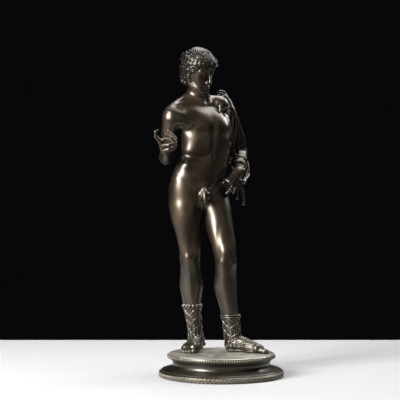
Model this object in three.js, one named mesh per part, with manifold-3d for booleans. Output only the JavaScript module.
// A bronze statuette of a standing young man in the classical manner, on a round moulded plinth.
// His weight is on the right leg, the left hand rests on the hip, the right hand is raised with one finger out,
// and a goatskin knotted on the left shoulder hangs over the left arm. He wears a leaf wreath and laced boots.
// Millimetres, +Z up, origin at the middle of the plinth's underside. The statuette is mostly seen from -Y,
// and the body faces about 30 degrees to the right of that.
import * as THREE from "three";
import Module from "manifold-3d";
import { mergeVertices } from "three/addons/utils/BufferGeometryUtils.js";

const wasm = await Module();
wasm.setup();

// Driving sizes of the plinth
const PLINTH_RADIUS = 119;
const TOP_RADIUS = 103;
const WAIST_RADIUS = 92.7;
const LIP_HEIGHT = 43.3;
const DECK_HEIGHT = 42;
const DECK_RADIUS = 95;
const SOLE_GAP = 0.3; // the soles stand this far above the deck

// The joints of the pose
const JOINTS = {
  rightNeck: [-60, 42, 512],
  rightShoulder: [-94, 19, 491],
  rightElbow: [-106, 46, 414],
  rightWrist: [-104, -34, 428],
  leftNeck: [-26, 62, 517],
  leftShoulder: [6, 77, 505],
  leftElbow: [44, 108, 424],
  leftWrist: [26, 50, 377],
  neck: [-45, 50, 532],
  head: [-41, 36, 587],
  rightHeel: [-41, 84, DECK_HEIGHT + SOLE_GAP],
  rightToes: [-62, -6, DECK_HEIGHT + SOLE_GAP],
  leftHeel: [9, 43, DECK_HEIGHT + SOLE_GAP],
  leftToes: [92, -2, DECK_HEIGHT + SOLE_GAP],
};

// The head turns to its left, bows, and leans to its right
const HEAD_TURN = 50;
const HEAD_BOW = 22;
const HEAD_LEAN = -6;

const bronze = new THREE.MeshStandardMaterial({ color: 0x2e2a22, roughness: 0.32, metalness: 1 });
const plinthBronze = new THREE.MeshStandardMaterial({ color: 0x34302a, roughness: 0.4, metalness: 1 });

const { sin, cos, abs, atan2, hypot, exp, PI, min, max } = Math;
const rad = THREE.MathUtils.degToRad;
const vec = (x, y, z) => new THREE.Vector3(x, y, z);
const UP = vec(0, 0, 1);
const joint = Object.fromEntries(Object.entries(JOINTS).map(([name, place]) => [name, vec(...place)]));

// The row of a table at a height, smoothly between the rows given. The first column is the height.
function rowAt(table, height) {
  const last = table.length - 1;
  let i = 0;
  while (i < last - 1 && height > table[i + 1][0]) i++;
  const slope = (k, column) => {
    const before = table[max(k - 1, 0)];
    const after = table[min(k + 1, last)];
    return (after[column] - before[column]) / (after[0] - before[0]);
  };
  const span = table[i + 1][0] - table[i][0];
  const t = (height - table[i][0]) / span;
  return table[i].map((value, column) => {
    if (column === 0) return height;
    return (
      value * (1 + 2 * t) * (1 - t) ** 2 +
      table[i + 1][column] * t * t * (3 - 2 * t) +
      span * (slope(i, column) * t * (1 - t) ** 2 - slope(i + 1, column) * t * t * (1 - t))
    );
  });
}

// From a section's centre to its edge: four half-widths, joined by quarters of a superellipse.
function edgeRadius(angle, [front, back, left, right], power) {
  const forward = cos(angle) > 0 ? front : back;
  const sideways = sin(angle) > 0 ? left : right;
  return (abs(cos(angle) / forward) ** power + abs(sin(angle) / sideways) ** power) ** (-1 / power);
}

// Smooth swellings and hollows on a lofted surface. Each is [height, angle, rise, half height, half angle], in
// millimetres and degrees, with angle 0 at the front and positive angles towards the figure's left.
function reliefAt(relief, height, angle) {
  let rise = 0;
  for (const [middle, around, amount, tall, wide] of relief) {
    const turn = atan2(sin(angle - rad(around)), cos(angle - rad(around)));
    rise += amount * exp(-(((height - middle) / tall) ** 2) - (turn / rad(wide)) ** 2);
  }
  return rise;
}

// A closed geometry as a solid that can be joined and cut.
function solidFrom(geometry) {
  const bare = geometry.index ? geometry.toNonIndexed() : geometry.clone();
  for (const name of Object.keys(bare.attributes)) if (name !== "position") bare.deleteAttribute(name);
  const merged = mergeVertices(bare, 1e-3);
  const triVerts = [];
  for (let i = 0; i < merged.index.count; i += 3) {
    const [a, b, c] = [0, 1, 2].map((k) => merged.index.getX(i + k));
    if (a !== b && b !== c && a !== c) triVerts.push(a, b, c);
  }
  const vertProperties = merged.attributes.position.array;
  return new wasm.Manifold(new wasm.Mesh({ numProp: 3, vertProperties, triVerts: new Uint32Array(triVerts) }));
}

function geometryFrom(solid) {
  const { numVert, numProp, vertProperties, triVerts } = solid.getMesh();
  const positions = new Float32Array(numVert * 3);
  for (let i = 0; i < numVert; i++) {
    positions.set(vertProperties.subarray(i * numProp, i * numProp + 3), i * 3);
  }
  return new THREE.BufferGeometry()
    .setAttribute("position", new THREE.BufferAttribute(positions, 3))
    .setIndex(new THREE.BufferAttribute(triVerts, 1));
}

const joined = (solids) => solids.reduce((whole, next) => whole.add(next));

// Moves every point of a round bar of length 1. The rule takes x and y in the unit circle and a share from 0 to 1.
function shapedBar(sides, rings, rule) {
  const bar = new THREE.CylinderGeometry(1, 1, 1, sides, rings).rotateX(PI / 2);
  const place = bar.attributes.position;
  for (let i = 0; i < place.count; i++) {
    const point = rule(place.getX(i), place.getY(i), place.getZ(i) + 0.5);
    place.setXYZ(i, point.x, point.y, point.z);
  }
  return solidFrom(bar);
}

// An upright form from sections. Each row of the table is
// [height, centre x, centre y, turn in degrees, front, back, left, right]. A turn of 0 faces -Y.
function loft({ table, sides, rings, power = 2, relief = [] }) {
  const [start, end] = [table[0][0], table.at(-1)[0]];
  return shapedBar(sides, rings, (x, y, share) => {
    const [height, centreX, centreY, turn, ...widths] = rowAt(table, start + (end - start) * share);
    const angle = atan2(x, -y);
    const edge = edgeRadius(angle, widths, power) + reliefAt(relief, height, angle);
    const radius = min(1, hypot(x, y)) * edge;
    const around = angle + rad(turn);
    return vec(centreX + radius * sin(around), centreY - radius * cos(around), height);
  });
}

// A straight form between two points. Each row is [share of the length, front, back, left, right].
function taper({ from, to, across, rows, sides, rings }) {
  const along = to.clone().sub(from);
  const side = across.clone().projectOnPlane(along).normalize();
  const deep = along.clone().normalize().cross(side);
  const [start, end] = [rows[0][0], rows.at(-1)[0]];
  return shapedBar(sides, rings, (x, y, share) => {
    const [place, ...widths] = rowAt(rows, start + (end - start) * share);
    const angle = atan2(x, -y);
    const radius = min(1, hypot(x, y)) * edgeRadius(angle, widths, 2);
    return from.clone()
      .addScaledVector(along, place)
      .addScaledVector(side, radius * sin(angle))
      .addScaledVector(deep, -radius * cos(angle));
  });
}

// A round form along a smooth curve. The radius is given as rows of [share of the length, radius].
function strand(points, radii, sides, rings) {
  const curve = new THREE.CatmullRomCurve3(points);
  const frames = curve.computeFrenetFrames(rings, false);
  return shapedBar(sides, rings, (x, y, share) => {
    const step = Math.round(share * rings);
    const radius = rowAt(radii, share)[1];
    return curve.getPointAt(share)
      .addScaledVector(frames.normals[step], x * radius)
      .addScaledVector(frames.binormals[step], y * radius);
  });
}

// An egg shape whose own z axis points along a direction.
function egg(centre, radii, direction = UP, around = 12, down = 8) {
  const turn = new THREE.Quaternion().setFromUnitVectors(UP, direction.clone().normalize());
  return solidFrom(
    new THREE.SphereGeometry(1, around, down)
      .rotateX(PI / 2)
      .scale(...radii)
      .applyQuaternion(turn)
      .translate(...centre),
  );
}

// From the seat to the root of the neck, with the chest, the ribs, the hips, the spine and the buttocks
function torso() {
  return loft({
    table: [
      [316, -42, 46, 25, 12, 20, 26, 28],
      [330, -43, 46, 25, 27, 33, 46, 50],
      [350, -44, 47, 25, 34, 38, 54, 58],
      [372, -44, 46, 25, 34, 36, 52, 57],
      [395, -39, 45, 26, 31, 29, 50, 51],
      [417, -34, 45, 28, 31, 26, 49, 47],
      [440, -31, 46, 30, 33, 29, 49, 46],
      [465, -30, 48, 31, 34, 34, 51, 50],
      [487, -32, 50, 32, 32, 36, 54, 54],
      [507, -36, 53, 32, 27, 33, 50, 52],
      [520, -39, 55, 32, 21, 26, 40, 42],
      [531, -42, 54, 34, 17, 20, 27, 29],
      [542, -44, 51, 38, 15, 17, 19, 21],
    ],
    relief: [
      [482, 34, 6, 15, 24],
      [480, -34, 6, 15, 24],
      [470, 0, -3, 30, 9],
      [452, 40, 2.5, 10, 25],
      [450, -40, 2.5, 10, 25],
      [400, 0, 2, 26, 22],
      [388, 62, 3.5, 9, 22],
      [390, -62, 4, 9, 22],
      [445, 180, -6, 60, 14],
      [488, 145, 4, 18, 20],
      [486, -145, 4, 18, 20],
      [342, 150, 11, 20, 24],
      [346, -150, 12, 20, 24],
      [336, 180, -9, 20, 10],
    ],
    sides: 24,
    rings: 17,
    power: 2.2,
  });
}

// The right leg carries the weight
function rightLeg() {
  return loft({
    table: [
      [58, -48, 62, -8, 15, 19, 14, 14],
      [80, -49, 60, -8, 14, 18, 15, 15],
      [105, -52, 57, -8, 15, 18, 16, 16],
      [125, -54, 55, -8, 16, 20, 17, 18],
      [145, -56, 52, -8, 17, 22, 20, 20],
      [168, -57, 50, -8, 18, 25, 22, 23],
      [195, -59, 46, -8, 19, 21, 20, 20],
      [213, -60, 42, -8, 21, 20, 19, 19],
      [235, -60, 41, -6, 22, 21, 21, 20],
      [265, -61, 40, 0, 26, 25, 26, 26],
      [300, -65, 39, 8, 31, 33, 31, 32],
      [330, -69, 41, 16, 33, 40, 33, 34],
      [362, -66, 44, 22, 26, 34, 28, 32],
    ],
    sides: 12,
    rings: 15,
  });
}

// The left leg is free, with the knee forward and the foot turned out
function leftLeg() {
  return loft({
    table: [
      [58, 24, 33, 58, 16, 19, 13, 13],
      [80, 22, 31, 58, 16, 18, 14, 14],
      [105, 19, 30, 57, 16, 18, 15, 15],
      [125, 17, 28, 57, 16, 20, 16, 16],
      [145, 14, 27, 56, 17, 23, 18, 18],
      [168, 12, 26, 55, 18, 26, 21, 21],
      [195, 11, 23, 55, 18, 22, 20, 20],
      [211, 10, 21, 54, 21, 20, 19, 19],
      [235, 6, 24, 52, 23, 21, 20, 20],
      [265, 0, 33, 47, 26, 25, 25, 25],
      [300, -8, 44, 40, 30, 32, 29, 28],
      [330, -14, 54, 35, 32, 38, 31, 30],
      [362, -20, 58, 32, 25, 32, 28, 24],
    ],
    sides: 12,
    rings: 15,
  });
}

// A foot from the heel to the ball, flat below, and five toes. Inward is 1 or -1, for the big toe's side.
function foot(heel, toes, inward) {
  const along = toes.clone().sub(heel);
  const side = vec(along.y, -along.x, 0).normalize().multiplyScalar(inward);
  const at = (share, across, height) => heel.clone()
    .addScaledVector(along, share)
    .addScaledVector(side, across)
    .addScaledVector(UP, height);
  // Share of the length, centre across, centre height, half height, half width
  const rows = [
    [0.02, 0, 9, 7, 7],
    [0.06, 0, 11, 10, 9],
    [0.15, 0, 13, 12, 12],
    [0.3, 0.5, 16, 13, 13],
    [0.45, 1, 14, 12.5, 15],
    [0.6, 1, 10.5, 10.5, 17],
    [0.72, 0, 8, 8, 18],
    [0.8, -1, 6, 6, 16],
  ];
  const body = shapedBar(10, 8, (x, y, share) => {
    const [place, across, middle, halfHeight, halfWidth] = rowAt(rows, 0.02 + 0.78 * share);
    return at(place, across - inward * x * halfWidth, middle + y * halfHeight);
  });
  const five = [5.2, 4, 3.8, 3.6, 3.4].map((radius, i) => {
    const across = 12.5 - 6.4 * i;
    const reach = 1 - 0.015 * i * i;
    return strand(
      [at(0.6, across * 0.9, radius + 3), at(reach - 0.14, across, radius + 1.6), at(reach, across, radius)],
      [[0, radius], [0.9, radius], [1, radius * 0.55]],
      6,
      3,
    );
  });
  const ground = solidFrom(new THREE.BoxGeometry(240, 240, 20).translate(heel.x, heel.y, heel.z - 10));
  return joined([body, ...five]).subtract(ground);
}

// From the side of the neck over the shoulder to the elbow, and from there to the wrist
function arm(neck, shoulder, elbow, wrist) {
  const yoke = neck.clone().lerp(shoulder, 0.72).setZ(neck.z - 3);
  const upper = strand(
    [neck, yoke, shoulder, shoulder.clone().lerp(elbow, 0.5), elbow],
    [[0, 17], [0.2, 19], [0.4, 18.5], [0.6, 16], [0.8, 14], [0.93, 12.5], [1, 10]],
    9,
    9,
  );
  const lower = strand(
    [elbow.clone().lerp(wrist, -0.1), elbow.clone().lerp(wrist, 0.5), wrist],
    [[0, 10], [0.1, 12.5], [0.3, 14], [0.55, 12.5], [0.8, 9.5], [1, 8.5]],
    8,
    7,
  );
  return upper.add(lower);
}

// A finger from its knuckle, through its bends, to its rounded tip
function finger(points, radius) {
  const rows = [[0, radius], [0.5, radius * 0.88], [0.92, radius * 0.72], [1, radius * 0.4]];
  return strand(points.map((point) => vec(...point)), rows, 5, 4);
}

// The raised hand: the first finger points up and outwards, the others curl back to the palm
function rightHand() {
  const palm = taper({
    from: vec(-104, -30, 426),
    to: vec(-101, -53, 447),
    across: vec(1, 0.1, 0),
    rows: [[0, 7.5, 7.5, 9.5, 9.5], [0.4, 7, 7, 12.5, 12.5], [0.8, 6, 7, 13.5, 13.5], [1, 5, 5, 12, 12]],
    sides: 8,
    rings: 4,
  });
  return joined([
    palm,
    finger([[-113, -52, 444], [-121, -55, 452], [-127, -56, 460], [-126, -56, 466], [-122, -55, 466]], 4.1),
    finger([[-104, -54, 449], [-102, -61, 456], [-104, -64, 448], [-106, -60, 441]], 4.1),
    finger([[-97, -54, 448], [-95, -61, 453], [-98, -64, 446], [-101, -59, 440]], 4),
    finger([[-91, -52, 445], [-90, -58, 449], [-94, -61, 442], [-97, -56, 437]], 3.8),
    finger([[-111, -40, 436], [-117, -47, 448], [-119, -51, 456], [-117, -53, 461]], 4.4),
  ]);
}

// The hand on the hip, with its fingers folded back over the thigh
function leftHand() {
  const palm = taper({
    from: vec(27, 52, 379),
    to: vec(14, 31, 360),
    across: vec(-0.4, -0.5, 0.9),
    rows: [[0, 8, 8, 9, 9], [0.4, 7, 7, 12, 12], [0.8, 6, 6, 13, 13], [1, 5, 5, 12, 12]],
    sides: 8,
    rings: 4,
  });
  const fingers = [0, 1, 2, 3].map((i) => {
    const [x, y, z] = [16 + 1.5 * i, 34 + 3 * i, 370 - 6.5 * i];
    return finger([[x, y, z], [x - 7, y - 9, z - 6], [x - 13, y - 10, z - 13]], 4);
  });
  return joined([palm, ...fingers]);
}

// The neck and the head, with curly hair bound by the wreath. The face is plain.
function head() {
  const turned = new THREE.Quaternion()
    .setFromEuler(new THREE.Euler(rad(HEAD_BOW), rad(HEAD_LEAN), rad(HEAD_TURN), "ZXY"));
  const onHead = (left, front, up) => vec(left, -front, up).applyQuaternion(turned).add(joint.head);
  const crown = UP.clone().applyQuaternion(turned);
  const solids = [
    taper({
      from: joint.neck,
      to: onHead(0, -10, -12),
      across: vec(0.8, 0.6, 0),
      rows: [[-0.3, 20, 24, 24, 26], [0.1, 18, 20, 20, 20], [0.6, 17, 18, 18, 18], [1, 17, 17, 17, 17]],
      sides: 12,
      rings: 4,
    }),
    egg(onHead(0, 3, -9), [23, 30, 34], crown, 12, 7),
    egg(onHead(0, -2, 6), [31, 36, 30], crown, 10, 7),
    egg(onHead(0, 32, -10), [4, 6, 9], onHead(0, -0.3, 1).sub(joint.head), 6, 5),
  ];
  // Rows of curls: height in degrees above the brow, number, and how far round from the back they reach
  const rows = [[-52, 3, 50], [-27, 5, 80], [0, 8, 180], [27, 8, 180], [56, 5, 180], [86, 1, 0]];
  rows.forEach(([rise, count, reach], row) => {
    for (let i = 0; i < count; i++) {
      const share = reach < 180 ? i / max(count - 1, 1) : (i + 0.5 * (row % 2)) / count;
      const around = PI + (share * 2 - 1) * rad(reach);
      const level = cos(rad(rise));
      const place = onHead(sin(around) * level * 30, cos(around) * level * 35, sin(rad(rise)) * 30 + 5);
      solids.push(egg(place, [10.5, 10.5, 7.5], crown, 5, 4));
    }
  });
  return joined(solids);
}

// The goatskin: the cape over the arm, its legs tied on the shoulder, its roll below the elbow, and the
// forelegs with their hooves that hang free
function goatskin() {
  const cape = loft({
    table: [
      [404, 44, 106, 70, 16, 18, 17, 17],
      [414, 43, 106, 70, 18, 19, 19, 19],
      [428, 41, 105, 70, 17, 20, 19, 18],
      [450, 35, 102, 68, 16, 20, 18, 17],
      [475, 26, 94, 66, 15, 20, 17, 17],
      [500, 11, 84, 60, 15, 20, 16, 17],
      [518, 3, 78, 52, 14, 18, 15, 16],
      [532, -4, 74, 50, 8, 10, 10, 11],
    ],
    sides: 12,
    rings: 8,
  });
  const limp = (points, radius) => strand(
    points.map((point) => vec(...point)),
    [[0, radius * 0.7], [0.5, radius], [0.85, radius * 0.8], [1, radius * 0.7]],
    5,
    4,
  );
  return joined([
    cape,
    limp([[-16, 62, 529], [-9, 61, 541], [2, 62, 545], [12, 68, 537], [15, 76, 522]], 5),
    limp([[-4, 58, 536], [1, 52, 526], [0, 46, 514], [-2, 44, 503]], 5),
    limp([[4, 72, 531], [12, 64, 523], [16, 59, 512], [14, 57, 500]], 5),
    limp([[50, 116, 412], [54, 112, 395], [52, 104, 375], [45, 92, 366], [38, 78, 370]], 7),
    limp([[40, 84, 374], [43, 88, 356], [46, 86, 338], [42, 84, 325]], 4.5),
    limp([[39, 82, 374], [34, 80, 354], [32, 78, 342], [30, 78, 330]], 3.8),
    limp([[27, 56, 374], [21, 57, 360], [15, 53, 347]], 3.4),
  ]);
}

// The rim round the top of a boot, with the knot of its lace
function bootTop(x, y, height, turn, [front, back, side], knot) {
  const widths = (more) => [front + more, back + more, side + more, side + more];
  const rim = loft({
    table: [
      [height - 4, x, y, turn, ...widths(0)],
      [height, x, y, turn, ...widths(1.5)],
      [height + 3.5, x, y, turn, ...widths(0)],
    ],
    sides: 12,
    rings: 2,
  });
  return rim.add(egg(knot, [3.5, 3.5, 5.5], UP, 6, 4));
}

function loins() {
  return joined([
    egg(vec(-34, 13, 345), [6.5, 6.5, 11], vec(0.05, -0.1, 1), 8, 5),
    egg(vec(-38.5, 13, 335), [6.5, 6.5, 9], vec(0.1, 0, 1), 8, 5),
    egg(vec(-29, 15, 335), [6.5, 6.5, 9], vec(-0.1, 0, 1), 8, 5),
  ]);
}

function figure() {
  return joined([
    torso(),
    loins(),
    rightLeg(),
    leftLeg(),
    foot(joint.rightHeel, joint.rightToes, -1),
    foot(joint.leftHeel, joint.leftToes, 1),
    bootTop(-53.5, 55.5, 123, -8, [16.5, 20.5, 18], vec(-38, 44, 123)),
    bootTop(18, 29, 113, 57, [16.5, 19.5, 16.5], vec(33, 20, 111)),
    arm(joint.rightNeck, joint.rightShoulder, joint.rightElbow, joint.rightWrist),
    arm(joint.leftNeck, joint.leftShoulder, joint.leftElbow, joint.leftWrist),
    rightHand(),
    leftHand(),
    head(),
    goatskin(),
  ]);
}

// The plinth's profile, turned about the axis: a foot torus, a sloping step, a hollow, and a beaded rim
function plinth() {
  const profile = new THREE.Path();
  profile.moveTo(0, 0);
  profile.lineTo(116, 0);
  profile.quadraticCurveTo(PLINTH_RADIUS + 1, 2.5, PLINTH_RADIUS, 6);
  profile.quadraticCurveTo(PLINTH_RADIUS - 1, 10.5, 115, 11);
  profile.lineTo(114.5, 12.8);
  profile.lineTo(112, 13);
  profile.lineTo(97, 17);
  profile.quadraticCurveTo(WAIST_RADIUS - 1.5, 24, 95, 31.5);
  profile.lineTo(96, 33);
  profile.quadraticCurveTo(TOP_RADIUS, 34, TOP_RADIUS, 37.5);
  profile.quadraticCurveTo(TOP_RADIUS, 41, 99.5, LIP_HEIGHT);
  profile.lineTo(97, LIP_HEIGHT);
  profile.lineTo(DECK_RADIUS, DECK_HEIGHT);
  profile.lineTo(0, DECK_HEIGHT);
  const turned = new THREE.LatheGeometry(profile.getPoints(2), 40).rotateX(PI / 2);
  return geometryFrom(solidFrom(turned));
}

const statuette = new THREE.Group();
statuette.name = "statuette";
const pieces = [
  ["figure", geometryFrom(figure()), bronze],
  ["plinth", plinth(), plinthBronze],
];
for (const [name, geometry, material] of pieces) {
  const mesh = new THREE.Mesh(geometry, material);
  mesh.name = name;
  statuette.add(mesh);
}

export default statuette;
